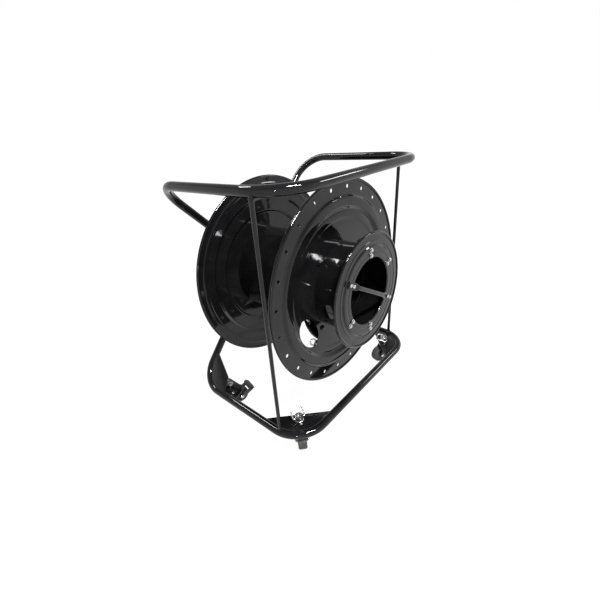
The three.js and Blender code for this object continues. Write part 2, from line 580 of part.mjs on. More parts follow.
function addStemHardware() {
  const bottom = PLATE.top + GAP;
  [['left', -1], ['right', 1]].forEach(([name, side]) => {
    const nut = nutRing(side * REAR_CASTOR.x, REAR_CASTOR.y, 9, bottom, bottom + 6, 6);
    place(`stem_nut_rear_${name}`, nut, zinc, reel);
  });

  [['left', -1, 52], ['right', 1, 12]].forEach(([name, side, lift]) => {
    const x = side * FRONT_CASTOR.x;
    place(`latch_barrel_${name}`, nutRing(x, FRONT_CASTOR.y, 10, bottom, bottom + 12, 16), zinc, reel);
    const { wire, halfWidth, length, pivotHeight } = BAIL;
    const line = new BentLine([new THREE.Vector3(-10.6, 0, 0), new THREE.Vector3(-halfWidth, 0, 0),
      new THREE.Vector3(-halfWidth, length, 0), new THREE.Vector3(halfWidth, length, 0),
      new THREE.Vector3(halfWidth, 0, 0), new THREE.Vector3(10.6, 0, 0)], [1.6, 4, 4, 1.6], 1);
    const bail = tubeAlong(line, wire, 0, 6);
    bail.rotateX(radians(lift));
    bail.rotateZ(radians(side < 0 ? -20 : 20));
    bail.translate(x, FRONT_CASTOR.y, pivotHeight);
    place(`latch_bail_${name}`, bail, zinc, reel);
  });
}

addFrame();
addHub();
addBrake();
addDrum();
addCompartment();
addCableAnchor();
addCornerPlates();
CASTORS.forEach(addCastor);
addStemHardware();

export default reel;
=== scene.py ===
# Looks for the cable drum reel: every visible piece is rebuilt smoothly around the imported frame.
# Lengths below are millimetres, turned into metres as each mesh is made.
import math

import bpy
import bmesh
from mathutils import Matrix, Vector


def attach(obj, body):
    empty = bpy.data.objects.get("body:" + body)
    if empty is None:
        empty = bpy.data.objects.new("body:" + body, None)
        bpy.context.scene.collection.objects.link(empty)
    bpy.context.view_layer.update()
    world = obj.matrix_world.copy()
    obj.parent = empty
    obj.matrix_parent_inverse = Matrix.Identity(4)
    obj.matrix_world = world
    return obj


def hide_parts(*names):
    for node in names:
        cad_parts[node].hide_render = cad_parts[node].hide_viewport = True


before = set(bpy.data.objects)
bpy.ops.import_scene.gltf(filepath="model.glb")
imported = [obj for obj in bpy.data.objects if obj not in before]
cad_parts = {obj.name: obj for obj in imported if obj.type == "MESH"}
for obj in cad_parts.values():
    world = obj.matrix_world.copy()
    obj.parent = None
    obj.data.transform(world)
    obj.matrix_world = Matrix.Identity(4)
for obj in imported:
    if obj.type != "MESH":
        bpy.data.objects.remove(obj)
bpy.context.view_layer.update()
scene = bpy.context.scene

MM = 0.001
AXLE = 314.0                 # spindle centre above the floor
DRUM = Matrix.Translation((0, 0, AXLE))
GROUND = Matrix.Identity(4)
ROUND = 128                  # segments round the big turned pieces


# ------------------------------------------------------------------ materials
class Nodes:
    """Short calls for wiring one material."""

    def __init__(self, name):
        self.material = bpy.data.materials.new(name)
        self.material.use_nodes = True
        self.tree = self.material.node_tree
        self.shader = self.tree.nodes["Principled BSDF"]
        self.place = self.tree.nodes.new("ShaderNodeTexCoord").outputs["Object"]

    def link(self, source, target):
        self.tree.links.new(source, target)

    def stretched(self, scale):
        node = self.tree.nodes.new("ShaderNodeMapping")
        node.inputs["Scale"].default_value = scale
        self.link(self.place, node.inputs["Vector"])
        return node.outputs["Vector"]

    def noise(self, scale, detail=4.0, roughness=0.55, place=None):
        node = self.tree.nodes.new("ShaderNodeTexNoise")
        node.inputs["Scale"].default_value = scale
        node.inputs["Detail"].default_value = detail
        node.inputs["Roughness"].default_value = roughness
        self.link(place or self.place, node.inputs["Vector"])
        return node.outputs["Fac"]

    def ramp(self, source, stops):
        node = self.tree.nodes.new("ShaderNodeValToRGB")
        points = node.color_ramp.elements
        while len(points) < len(stops):
            points.new(0.5)
        for point, (position, value) in zip(points, stops):
            point.position = position
            point.color = (*value, 1) if hasattr(value, "__len__") else (value, value, value, 1)
        self.link(source, node.inputs["Fac"])
        return node.outputs["Color"]

    def maths(self, operation, first, second):
        node = self.tree.nodes.new("ShaderNodeMath")
        node.operation = operation
        for socket, value in zip(node.inputs, (first, second)):
            if hasattr(value, "is_linked"):
                self.link(value, socket)
            else:
                socket.default_value = value
        return node.outputs["Value"]

    def mix(self, factor, first, second):
        node = self.tree.nodes.new("ShaderNodeMix")
        node.data_type = "RGBA"
        for socket, value in zip((node.inputs[0], node.inputs[6], node.inputs[7]), (factor, first, second)):
            if hasattr(value, "is_linked"):
                self.link(value, socket)
            else:
                socket.default_value = (*value, 1) if hasattr(value, "__len__") else value
        return node.outputs[2]

    def edges(self, low, high):
        geometry = self.tree.nodes.new("ShaderNodeNewGeometry")
        return self.ramp(geometry.outputs["Pointiness"], [(low, 0.0), (high, 1.0)])

    def bump(self, height, strength, distance, below=None):
        node = self.tree.nodes.new("ShaderNodeBump")
        node.inputs["Strength"].default_value = strength
        node.inputs["Distance"].default_value = distance
        self.link(height, node.inputs["Height"])
        if below is not None:
            self.link(below, node.inputs["Normal"])
        self.link(node.outputs["Normal"], self.shader.inputs["Normal"])
        return node.outputs["Normal"]

    def constant(self, **values):
        for name, value in values.items():
            self.shader.inputs[name.replace("_", " ")].default_value = value


def painted():
    n = Nodes("gloss_black_paint")
    tone = n.ramp(n.noise(22, 6), [(0.3, (0.0018, 0.0018, 0.002)), (0.7, (0.0042, 0.0042, 0.0046))])
    worn = n.maths("MULTIPLY", n.edges(0.56, 0.66), n.ramp(n.noise(140, 5, 0.7), [(0.56, 0.0), (0.7, 1.0)]))
    n.link(n.mix(worn, tone, (0.028, 0.028, 0.029)), n.shader.inputs["Base Color"])
    film = n.ramp(n.noise(9, 7, 0.6), [(0.35, 0.03), (0.7, 0.08)])
    n.link(n.mix(worn, film, (0.3, 0.3, 0.3)), n.shader.inputs["Roughness"])
    wave = n.bump(n.noise(38, 2), 0.13, 0.0012)
    n.bump(n.noise(900, 2), 0.04, 0.0002, wave)
    n.constant(Specular_IOR_Level=0.28)
    return n.material


def plated():
    n = Nodes("zinc_plate")
    cloud = n.noise(260, 5, 0.6)
    n.link(n.ramp(cloud, [(0.3, (0.32, 0.325, 0.33)), (0.7, (0.62, 0.625, 0.63))]), n.shader.inputs["Base Color"])
    worn = n.edges(0.5, 0.62)
    rough = n.ramp(n.noise(500, 4, 0.6), [(0.3, 0.20), (0.75, 0.42)])
    n.link(n.mix(worn, rough, (0.15, 0.15, 0.15)), n.shader.inputs["Roughness"])
    n.bump(n.noise(1400, 3), 0.12, 0.0002)
    n.constant(Metallic=1.0)
    return n.material


def turned_steel():
    n = Nodes("turned_steel")
    rings = n.noise(60, 4, 0.6, n.stretched((1, 40, 1)))
    n.link(n.ramp(rings, [(0.3, (0.33, 0.33, 0.34)), (0.7, (0.56, 0.56, 0.57))]), n.shader.inputs["Base Color"])
    n.link(n.ramp(rings, [(0.3, 0.18), (0.7, 0.36)]), n.shader.inputs["Roughness"])
    n.bump(rings, 0.15, 0.0002)
    n.constant(Metallic=1.0)
    return n.material


def moulded_plastic():
    n = Nodes("moulded_plastic")
    worn = n.maths("MULTIPLY", n.edges(0.54, 0.66), n.ramp(n.noise(220, 4, 0.7), [(0.45, 0.0), (0.6, 1.0)]))
    tone = n.ramp(n.noise(40, 5), [(0.3, (0.011, 0.011, 0.012)), (0.7, (0.02, 0.02, 0.021))])
    n.link(n.mix(worn, tone, (0.07, 0.07, 0.072)), n.shader.inputs["Base Color"])
    n.link(n.ramp(n.noise(90, 5), [(0.3, 0.36), (0.7, 0.52)]), n.shader.inputs["Roughness"])
    n.bump(n.noise(2200, 2), 0.25, 0.0002)
    return n.material


def wheel_rubber():
    n = Nodes("wheel_rubber")
    dust = n.ramp(n.noise(120, 6, 0.7), [(0.48, 0.0), (0.72, 1.0)])
    n.link(n.mix(dust, (0.012, 0.012, 0.0125), (0.05, 0.049, 0.047)), n.shader.inputs["Base Color"])
    n.link(n.ramp(n.noise(300, 4), [(0.3, 0.5), (0.7, 0.78)]), n.shader.inputs["Roughness"])
    n.bump(n.noise(1200, 4), 0.3, 0.0003)
    return n.material


def pale_floor():
    n = Nodes("pale_floor")
    tone = n.ramp(n.noise(3, 3), [(0.3, (0.05, 0.05, 0.05)), (0.7, (0.06, 0.06, 0.06))])
    n.link(tone, n.shader.inputs["Base Color"])
    n.link(n.ramp(n.noise(8, 3), [(0.3, 0.7), (0.7, 0.9)]), n.shader.inputs["Roughness"])
    n.constant(Emission_Color=(1, 1, 1, 1), Emission_Strength=0.96)
    return n.material


PAINT, ZINC, STEEL, PLASTIC, RUBBER = painted(), plated(), turned_steel(), moulded_plastic(), wheel_rubber()


# ------------------------------------------------------------------ mesh building
def moved(part, matrix):
    points, faces = part
    return [matrix @ Vector(p) for p in points], faces


def together(*parts):
    points, faces = [], []
    for more_points, more_faces in parts:
        start = len(points)
        points.extend(more_points)
        faces.extend([i + start for i in face] for face in more_faces)
    return points, faces


def loft(rings, closed=False, caps=True):
    """Quads between rings of equal length; closed joins the last ring to the first."""
    size = len(rings[0])
    points = [p for ring in rings for p in ring]
    pairs = list(zip(range(len(rings) - 1), range(1, len(rings))))
    if closed:
        pairs.append((len(rings) - 1, 0))
    faces = [[a * size + i, a * size + (i + 1) % size, b * size + (i + 1) % size, b * size + i]
             for a, b in pairs for i in range(size)]
    if caps and not closed:
        faces.append(list(range(size))[::-1])
        faces.append([(len(rings) - 1) * size + i for i in range(size)])
    return points, faces


def spun(outline, segments=ROUND, solid=False):
    """Turns [radius, y] points about the Y axis: a closed outline, or with solid an open one capped on the axis."""
    rings = [[(r * math.cos(t), y, r * math.sin(t)) for t in
              (math.tau * k / segments for k in range(segments))] for r, y in outline]
    return loft(rings, closed=not solid)


def eased(corners, radius, steps=5, closed=True):
    """Rounds each corner of a flat outline; radius is one number or one per corner."""
    radii = radius if hasattr(radius, "__len__") else [radius] * len(corners)
    made = []
    for i, (corner, size) in enumerate(zip(corners, radii)):
        here = Vector(corner)
        if not closed and i in (0, len(corners) - 1) or size == 0:
            made.append(tuple(here))
            continue
        into = Vector(corners[i - 1]) - here
        out = Vector(corners[(i + 1) % len(corners)]) - here
        reach = min(size, into.length * 0.49, out.length * 0.49)
        start, end = here + into.normalized() * reach, here + out.normalized() * reach
        for k in range(steps + 1):
            t = k / steps
            made.append(tuple(start * (1 - t) ** 2 + here * 2 * t * (1 - t) + end * t * t))
    return made


def curl(r, y, radius, start, end, steps):
    return [(r + radius * math.cos(math.radians(start + (end - start) * k / steps)),
             y + radius * math.sin(math.radians(start + (end - start) * k / steps))) for k in range(steps + 1)]


def sheet_ring(face, rim_radius, bead, thickness, bends=3.0):
    """Pressed sheet with a rolled rim: its front face is given from the hole outwards."""
    front = eased(face, bends, 5, closed=False)
    back = [(r, y + thickness) for r, y in front][::-1]
    rim = curl(rim_radius - bead, face[-1][1] + thickness / 2, bead, -140, 140, 18)
    return front + rim + back


def prism(outline, low, high):
    return loft([[(x, y, low) for x, y in outline], [(x, y, high) for x, y in outline]])


def swept(line, section):
    """Carries a section round a line without twist. section(i) gives the flat ring at station i."""
    line = [Vector(p) for p in line]
    tangents = [(line[min(i + 1, len(line) - 1)] - line[max(i - 1, 0)]).normalized() for i in range(len(line))]
    side = tangents[0].orthogonal().normalized()
    rings = []
    for i, (point, tangent) in enumerate(zip(line, tangents)):
        side = (side - tangent * side.dot(tangent)).normalized()
        up = tangent.cross(side)
        rings.append([point + side * a + up * b for a, b in section(i)])
    return loft(rings)


def circle(radius, sides):
    return [(radius * math.cos(math.tau * k / sides), radius * math.sin(math.tau * k / sides)) for k in range(sides)]


def rod(line, radius, sides=28):
    ring = circle(radius, sides)
    return swept(line, lambda i: ring)


def bent(corners, radii, steps=14):
    """A line through corners with a true arc at each inner one."""
    corners = [Vector(c) for c in corners]
    line = [corners[0]]
    for before, corner, after, radius in zip(corners, corners[1:], corners[2:], radii):
        into, out = (corner - before).normalized(), (after - corner).normalized()
        turn = into.angle(out)
        start = corner - into * radius * math.tan(turn / 2)
        inward = (out - into * out.dot(into)).normalized()
        for k in range(steps + 1):
            a = turn * k / steps
            line.append(start + into * radius * math.sin(a) + inward * radius * (1 - math.cos(a)))
    return line + [corners[-1]]


def weld(centre, normal, radius, bead=2.2, sides=64):
    """A lumpy bead of weld round a joint."""
    normal = Vector(normal).normalized()
    side = normal.orthogonal().normalized()
    up = normal.cross(side)
    rings = []
    for k in range(sides):
        t = math.tau * k / sides
        out = side * math.cos(t) + up * math.sin(t)
        size = bead * (1 + 0.14 * math.sin(11 * t) + 0.07 * math.sin(23 * t + 1))    # uneven, as if laid by hand
        rings.append([Vector(centre) + out * (radius + size * 0.9 * math.cos(a)) + normal * size * math.sin(a)
                      for a in (math.tau * j / 10 for j in range(10))])
    return loft(rings, closed=True)


def facing_y(x, y, z):
    """Stands a piece built along +Z so that it points along -Y from this place."""
    return Matrix.Translation((x, y, z)) @ Matrix.Rotation(math.radians(90), 4, "X")


def add(name, part, material, body, nodes=(), at=DRUM, bevel=0.0, crease=32, cutter=None):
    """One finished piece: mesh, small bevels, shading, material, and its place in the frame."""
    points, faces = moved(part, at)
    mesh = bpy.data.meshes.new(name)
    mesh.from_pydata([tuple(p * MM) for p in points], [], faces)
    cleaned = bmesh.new()
    cleaned.from_mesh(mesh)
    bmesh.ops.remove_doubles(cleaned, verts=cleaned.verts, dist=1e-6)
    bmesh.ops.dissolve_degenerate(cleaned, edges=cleaned.edges, dist=1e-7)
    bmesh.ops.recalc_face_normals(cleaned, faces=cleaned.faces)
    cleaned.to_mesh(mesh)
    cleaned.free()
    piece = bpy.data.objects.new(name, mesh)
    scene.collection.objects.link(piece)
    if cutter is not None:
        tool = add(name + "_tool", cutter, material, None, at=at)
        step = piece.modifiers.new("holes", "BOOLEAN")
        step.object, step.operation, step.solver = tool, "DIFFERENCE", "EXACT"
        settle(piece)
        bpy.data.objects.remove(tool)
    if bevel:
        step = piece.modifiers.new("edges", "BEVEL")
        step.width, step.segments, step.limit_method, step.angle_limit = bevel * MM, 2, "ANGLE", math.radians(38)
        settle(piece)
    piece.data.polygons.foreach_set("use_smooth", [True] * len(piece.data.polygons))
    piece.data.set_sharp_from_angle(angle=math.radians(crease))
    piece.data.materials.clear()
    piece.data.materials.append(material)
    if body:
        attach(piece, body)
        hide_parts(*nodes)
    return piece


def settle(piece):
    """Turns the modifiers into the mesh."""
    graph = bpy.context.evaluated_depsgraph_get()
    mesh = bpy.data.meshes.new_from_object(piece.evaluated_get(graph))
    piece.modifiers.clear()
    piece.data = mesh


def polar(radius, degrees, y=0.0):
    return (radius * math.cos(math.radians(degrees)), y, radius * math.sin(math.radians(degrees)))


# ------------------------------------------------------------------ fasteners
def hex_head(x, y, z, size, height, washer=0.0, shank=0.0, shank_length=0.0):
    """A bolt head that looks towards -Y, its underside at y, with a domed top."""
    head = loft([circle_at(size * s, 6, h) for s, h in
                 ((1.0, 0.0), (1.0, height * 0.78), (0.9, height))])
    parts = [moved(head, facing_y(x, y, z))]
    if washer:
        parts.append(moved(spun([(size * 0.6, 0), (washer, 0), (washer, 0.9), (size * 0.6, 0.9)], 32),
                           Matrix.Translation((x, y - 0.9, z))))
    if shank:
        parts.append(moved(spun([(shank, 0), (shank, shank_length)], 20, solid=True), Matrix.Translation((x, y, z))))
    return together(*parts)


def circle_at(radius, sides, height):
    return [(a, b, height) for a, b in circle(radius, sides)]


# ------------------------------------------------------------------ tube frame
HUB_RADIUS = 36.0
ARM_WELD_RADIUS = 36.5
UPPER = {"half": 235.0, "height": 245.0, "front": -178.5, "rear": 172.0, "bends": (70, 82, 82, 70)}
LOWER = {"half": 239.5, "height": -259.0, "front": -167.5, "rear": 176.0, "bends": (61, 74, 74, 61)}
TUBE = 9.3                   # the tube's radius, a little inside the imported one
STRUT = 4.0


def frame_line(loop):
    half, height, front, rear = loop["half"], loop["height"], loop["front"], loop["rear"]
    end = (HUB_RADIUS - 2) / math.hypot(half, height)
    corners = [(-half * end, rear, height * end), (-half, rear, height), (-half, front, height),
               (half, front, height), (half, rear, height), (half * end, rear, height * end)]
    return bent(corners, loop["bends"])


def hub_welds(loop):
    reach = math.hypot(loop["half"], loop["height"])
    out = ARM_WELD_RADIUS / reach
    return [weld((side * loop["half"] * out, loop["rear"], loop["height"] * out),
                 (side * loop["half"], 0, loop["height"]), TUBE + 0.6) for side in (-1, 1)]


def add_frame():
    for name, loop in (("upper_frame", UPPER), ("lower_frame", LOWER)):
        part = together(rod(frame_line(loop), TUBE, 36), *hub_welds(loop))
        add(name + "_tube", part, PAINT, "frame", [name])
    for name, side in (("left", -1), ("right", 1)):
        foot, top = Vector((side * 239.5, -108, -259)), Vector((side * 237, -119, 245))
        way = (top - foot).normalized()
        part = together(rod([foot + way * 4, foot + way * 200, top - way * 200, top - way * 4], STRUT, 24),
                        weld(foot + way * 10.2, way, STRUT, 1.5), weld(top - way * 10.2, way, STRUT, 1.5))
        add(f"strut_rod_{name}_round", part, PAINT, "frame", ["strut_rod_" + name])


# ------------------------------------------------------------------ hub, spindle and brake
def add_hub():
    boss = spun(eased([(15.3, 160), (36, 160), (36, 188.2), (15.3, 188.2)], (0, 1, 2.5, 0)), 96)
    add("hub_boss_turned", boss, PAINT, "frame", ["hub_boss"])
    outline = eased([(-58, -58), (58, -58), (58, 58), (24, 108), (-24, 108), (-58, 58)], 12, 6)
    plate = moved(prism(outline, -164.5, -160), Matrix.Rotation(math.radians(90), 4, "X"))
    bead = weld((0, 164.6, 0), (0, 1, 0), HUB_RADIUS + 0.2, 1.8, 128)
    add("hub_plate_cut", plate, PAINT, "frame", ["hub_plate"], bevel=0.6)
    add("hub_plate_weld", bead, PAINT, "frame")
    cap = spun(eased([(0.01, 188), (24, 188), (24, 191), (0.01, 191)], (0, 0, 1.6, 0)), 64)
    add("hub_cap_round", cap, PLASTIC, "frame", ["hub_cap"])
    spindle = spun(eased([(0.01, 32), (8, 32), (8, 46), (15, 46), (15, 152), (34, 152), (34, 159.7), (15, 159.7),
                          (15, 187), (0.01, 187)], (0, 1, 0.5, 1, 1, 1, 0.6, 0.5, 1, 0)), 80)
    add("spindle_turned", spindle, STEEL, "frame", ["spindle"])
    bolts = [hex_head(*polar(25, a, 150.5), 5.5, 3.5) for a in (0, 90, 180, 270)]
    bolts.append(spun([(19.5, 150.4), (30.5, 150.4), (30.5, 151.7), (19.5, 151.7)], 64))
    add("spindle_bolts_set", together(*bolts), ZINC, "frame", ["spindle_bolt_ring"], bevel=0.25)
    add("spindle_washer_round", spun(eased([(8.3, 43.4), (20, 43.4), (20, 45.7), (8.3, 45.7)], 0.5), 64),
        ZINC, "frame", ["spindle_washer"])
    nut = loft([[(x * s, -h, z * s) for x, z in circle(13.5, 6)] for s, h in
                ((0.92, -33), (1, -34.4), (1, -43.1))])
    add("spindle_nut_hex", nut, ZINC, "frame", ["spindle_nut"], bevel=0.4)


BRAKE_HEIGHT = 88            # the screw above the spindle
THREAD_PITCH = 1.25
KNOB_LOBES = 5


def add_brake():
    at = DRUM @ Matrix.Translation((0, 0, BRAKE_HEIGHT))
    pad = spun(eased([(0.01, 129.5), (11, 129.5), (11, 134.4), (0.01, 134.4)], (0, 1, 0.6, 0)), 48)
    add("brake_pad_round", pad, RUBBER, "brake_pad", ["brake_pad"], at=at)
    thread = [(0.01, 134.8), (7, 134.8), (7, 137.4), (3.5, 137.6)]
    y = 138.0
    while y < 171.5:
        thread += [(3.45, y), (4, y + 0.5), (4, y + 0.75), (3.45, y + THREAD_PITCH)]
        y += THREAD_PITCH
    thread += [(4, 173), (4, 175.8), (0.01, 175.8)]
    add("brake_screw_threaded", spun(thread, 40), ZINC, "brake_screw", ["brake_screw"], at=at)
    nut = loft([[(x * s, y, z * s) for x, z in circle(7.4, 6)]
                for s, y in ((0.9, 158.2), (1, 159), (1, 167), (0.9, 167.8))])
    add("brake_nut_hex", nut, ZINC, "frame", ["brake_nut"], at=at, bevel=0.25,
        cutter=spun([(4.3, 150), (4.3, 172)], 32, solid=True))
    lobed = []
    for k in range(160):
        t = math.tau * k / 160
        lobe = KNOB_LOBES * (t - math.pi / 2)
        lobed.append((15.2 + 3.4 * math.cos(lobe) - 0.8 * math.cos(2 * lobe), t))
    rings = [[((r - inset) * math.cos(t), y, (r - inset) * math.sin(t)) for r, t in lobed]
             for inset, y in ((2.2, 173), (0.8, 173.3), (0.1, 174.2), (0, 175.5), (0, 184), (0.3, 185.6), (1.1, 187),
                              (2.4, 187.8), (4.5, 188), (7, 187.4))]
    add("brake_knob_lobed", loft(rings), PLASTIC, "brake_screw", ["brake_knob"], at=at)


# ------------------------------------------------------------------ drum
FRONT_Y = -112.0             # front flange
FLANGE_RADIUS = 230
SHEET = 1.6                  # thickness seen at the rolled edges
RIM_HOLES, CORE_BOLTS, MOUTH_BOLTS = 24, 8, 6
CORE_BOLT_CIRCLE = 109


def add_flanges():
    rear = [(30.3, 126), (141, 126), (147, 120), (176, 120), (183, 115), (203, 115), (206, 113.6), (211, 113.6),
            (214, 115), (225, 115)]
    add("rear_flange_pressed", spun(sheet_ring(rear, FLANGE_RADIUS, 3.4, SHEET, 2.4)), PAINT, "drum", ["rear_flange"])
    front = [(94.6, -109.2), (146, -109.2), (150, -110.4), (160, -110.4), (166, -109.2), (173, -116), (190, -116),
             (196, -112), (225, -112)]
    holes = [moved(spun([(4, -12), (4, 12)], 24, solid=True),
                   Matrix.Translation(polar(211.6, 360 / RIM_HOLES * (k + 0.5), FRONT_Y)))
             for k in range(RIM_HOLES)]
    holes += [moved(spun([(3.2, -12), (3.2, 12)], 20, solid=True),
                    Matrix.Translation(polar(CORE_BOLT_CIRCLE, 360 / CORE_BOLTS * k, FRONT_Y)))
              for k in range(CORE_BOLTS)]
    pass_hole = loft([[(140 + 25 * math.cos(t), y, 42 * math.sin(t)) for t in (math.tau * k / 72 for k in range(72))]
                      for y in (-130, -95)])
    holes.append(moved(pass_hole, Matrix.Rotation(math.radians(-209.5), 4, "Y")))
    add("front_flange_pressed", spun(sheet_ring(front, FLANGE_RADIUS, 3.4, SHEET, 2.4)), PAINT, "drum",
        ["front_flange"], cutter=together(*holes))


def add_core():
    core = eased([(102.2, -106.6), (113.6, -106.6), (113.6, -104.9), (104, -104.9), (104, 125.4), (102.2, 125.4)],
                 0.4, 2)
    add("drum_core_rolled", spun(core), PAINT, "drum", ["drum_core"])
    cone = eased([(104.4, -53), (109.4, -72), (119.6, -92), (136, -106.6), (133, -106.6), (117.4, -92), (107.6, -72),
                  (104.2, -58)], (0.5, 8, 8, 0.5, 0.5, 8, 8, 0.5), 6)
    add("core_cone_spun", spun(cone), PAINT, "drum", ["core_cone"])
    disc = eased([(26.3, 43), (40, 43), (44, 45), (88, 45), (92, 43), (101.8, 43), (101.8, 44.8), (92, 44.8),
                  (88, 46.8), (44, 46.8), (40, 44.8), (26.3, 44.8)], 1.5, 4)
    add("core_partition_disc", spun(disc), PAINT, "drum", ["core_partition"])
    tube = eased([(26.3, 46.9), (30, 46.9), (30, 144), (26.3, 144)], 0.5)
    add("bearing_tube_turned", spun(tube, 96), PAINT, "drum", ["bearing_tube"])
    for name, y in (("rear_bearing", 128.0), ("front_bearing", 49.0)):
        ring = eased([(15.3, y), (18.6, y), (19, y + 0.9), (22.4, y + 0.9), (22.8, y), (26, y), (26, y + 14),
                      (22.8, y + 14), (22.4, y + 13.1), (19, y + 13.1), (18.6, y + 14), (15.3, y + 14)], 0.35, 3)
        add(name + "_ring", spun(ring, 96), STEEL, "drum", [name])
    bolts = [hex_head(*polar(CORE_BOLT_CIRCLE, 360 / CORE_BOLTS * k, -109.5), 5.3, 3.8, 6.8, 3, 14)
             for k in range(CORE_BOLTS)]
    add("core_bolt_set", together(*bolts), PAINT, "drum", ["core_bolt_ring"], bevel=0.2)


def add_compartment():
    shell = eased([(95.4, -109.6), (97, -109.6), (97, -181.9), (77.4, -181.9), (77.4, -180.3), (95.4, -180.3)],
                  (0.3, 0.3, 3, 0.3, 0.3, 2), 5)
    add("compartment_shell_rolled", spun(shell), PAINT, "drum", ["compartment_shell"])
    face = [(76.5, -184.5), (84, -184.5), (85, -184.1), (87, -184.1), (88, -184.5), (97.5, -184.5), (101, -181.8),
            (105.4, -181.8), (106.4, -182.8), (108.6, -182.8), (109.6, -181.8), (123.5, -181.8)]
    front = eased(face, 0.9, 4, closed=False)
    rim = curl(124.8, -181.0, 3, -140, 140, 18)
    back = [(r, y + SHEET) for r, y in front][::-1]
    lip = curl(76.3, -182.0, 2.5, 120, 262, 14)
    add("small_flange_pressed", spun(front + rim + back + lip), PAINT, "drum", ["small_flange"])
    bolts = []
    for k in range(MOUTH_BOLTS):
        angle = 30 + 360 // MOUTH_BOLTS * k
        on_bar = angle % 180 == 150
        raised, height, washer = (2.7, 3.2, 0) if on_bar else (0.0, 3.4, 5.2)
        for radius in (80.5, 92.0):
            bolts.append(hex_head(*polar(radius, angle, -184.8 - raised), 4.3, height, washer, 2.4, 8))
    add("mouth_bolt_set", together(*bolts), ZINC, "drum", ["mouth_bolt_ring"], bevel=0.2)


def add_grip_bar():
    """A round bar across the mouth, forged flat at its two bolted ends."""
    stations = [-98, -97.4, -95.6, -92, -86, -76, -70, -66, -62, -58, -52, -30, 0]
    stations += [-s for s in stations[-2::-1]]
    rings = []
    for s in stations:
        away = abs(s)
        flat = min(max((away - 57) / 13, 0), 1)
        flat = flat * flat * (3 - 2 * flat)
        half_width = 5.6 * (1 - flat) + 7.5 * flat
        if away > 90.5:
            half_width = math.sqrt(max(7.5 ** 2 - (away - 90.5) ** 2, 0.04))
        half_depth = 5.6 * (1 - flat) + 1.2 * flat
        power = 2 / (2 + 5 * flat)
        centre = -186.0 + 0.9 * (1 - flat)
        ring = []
        for k in range(32):
            t = math.tau * k / 32
            c, v = math.cos(t), math.sin(t)
            ring.append((s, centre + half_depth * math.copysign(abs(v) ** power, v),
                         half_width * math.copysign(abs(c) ** power, c)))
        rings.append(ring)
    bar = moved(loft(rings), Matrix.Rotation(math.radians(-150), 4, "Y"))
    add("grip_bar_forged", bar, PAINT, "drum", ["grip_bar"], crease=50)


def add_cable_anchor():
    base = prism(eased([(-8, -1.2), (8, -1.2), (8, 1.2), (-8, 1.2)], 0.4, 3), -7, 7)
    rings = []
    for k in range(40):
        t = math.tau * k / 40
        rings.append([((7 + 1.6 * math.cos(a)) * math.cos(t), 9.2 + (7 + 1.6 * math.cos(a)) * math.sin(t),
                       1.6 * math.sin(a)) for a in (math.tau * j / 12 for j in range(12))])
    at = DRUM @ Matrix.Rotation(math.radians(-228), 4, "Y") @ Matrix.Translation((146, -105.5, 0))
    add("cable_anchor_ring", together(base, loft(rings, closed=True)), ZINC, "drum", ["cable_anchor"], at=at)


# ------------------------------------------------------------------ corner plates
def arc_points(x, y, radius, start, end, steps=10):
    return [(x + radius * math.cos(math.radians(start + (end - start) * k / steps)),
             y + radius * math.sin(math.radians(start + (end - start) * k / steps))) for k in range(steps + 1)]


def add_corner_plates():
    half, front, bend = LOWER["half"], LOWER["front"], 74.0
    for name, side in (("left", -1), ("right", 1)):
        corner = arc_points(half - bend, front + bend, bend, 0, -90)
        outline = [(half, front + 108)] + corner + [(half - 108, front)]
        inner = [(half - 112, front + 8), (half - 9, front + 110)]
        shape = [(side * x, y) for x, y in outline + inner]
        add(f"gusset_front_{name}_plate", prism(shape, 55, 59), PAINT, "frame", ["gusset_front_" + name],
            at=GROUND, bevel=0.5)
        rear = eased([(half, 52), (half - 36, 60), (half - 48, 76), (half - 48, 128), (half - 30, 148), (half, 148)],
                     (0, 8, 8, 8, 8, 0), 5)
        add(f"castor_plate_rear_{name}_plate", prism([(side * x, y) for x, y in rear], 55, 59), PAINT, "frame",
            ["castor_plate_rear_" + name], at=GROUND, bevel=0.5)
        bolts = [moved(dome(3.6, 2.2), Matrix.Translation((side * (half - dx), y, 59)))
                 for dx, y in ((20, 128), (38, 122), (16, 72))]
        add(f"plate_rivets_{name}", together(*bolts), ZINC, "frame", at=GROUND)
        add_rear_gusset(name, side)


def dome(radius, height):
    rings = [circle_at(radius * math.cos(math.radians(a)), 20, height * math.sin(math.radians(a)))
             for a in (0, 15, 30, 45, 60, 75, 86)]
    return loft(rings)


WEB_FOOT = -254.0            # the web stops just above the corner plates


def add_rear_gusset(name, side):
    half, height, rear, bend = LOWER["half"], LOWER["height"], LOWER["rear"], 61.0
    corner = arc_points(bend, rear - bend, bend, 180, 90)
    outline = [(0, rear - 92)] + corner + [(92, rear), (44, rear - 78)]
    reach = math.hypot(half, height)
    along, across = Vector((-half / reach, 0, -height / reach)), Vector((0, 1, 0))
    normal = along.cross(across)
    arm_plane = Matrix(((along.x, across.x, normal.x, half), (along.y, across.y, normal.y, 0),
                        (along.z, across.z, normal.z, height), (0, 0, 0, 1)))
    points, faces = moved(prism(outline, -5, -1), arm_plane)
    trimmed = [Vector((side * p.x, p.y, max(p.z, WEB_FOOT))) for p in points]
    add(f"rear_gusset_{name}_web", (trimmed, faces), PAINT, "frame", ["rear_gusset_" + name], bevel=0.5)


# ------------------------------------------------------------------ castors
# x and y of each stem, and the heading that its wheel trails towards
CASTORS = {"front_left": (-190, -120, 228), "front_right": (190, -120, 165),
           "rear_left": (-210, 100, 347), "rear_right": (210, 100, 200)}


TRAIL, WHEEL_RADIUS = 20, 22


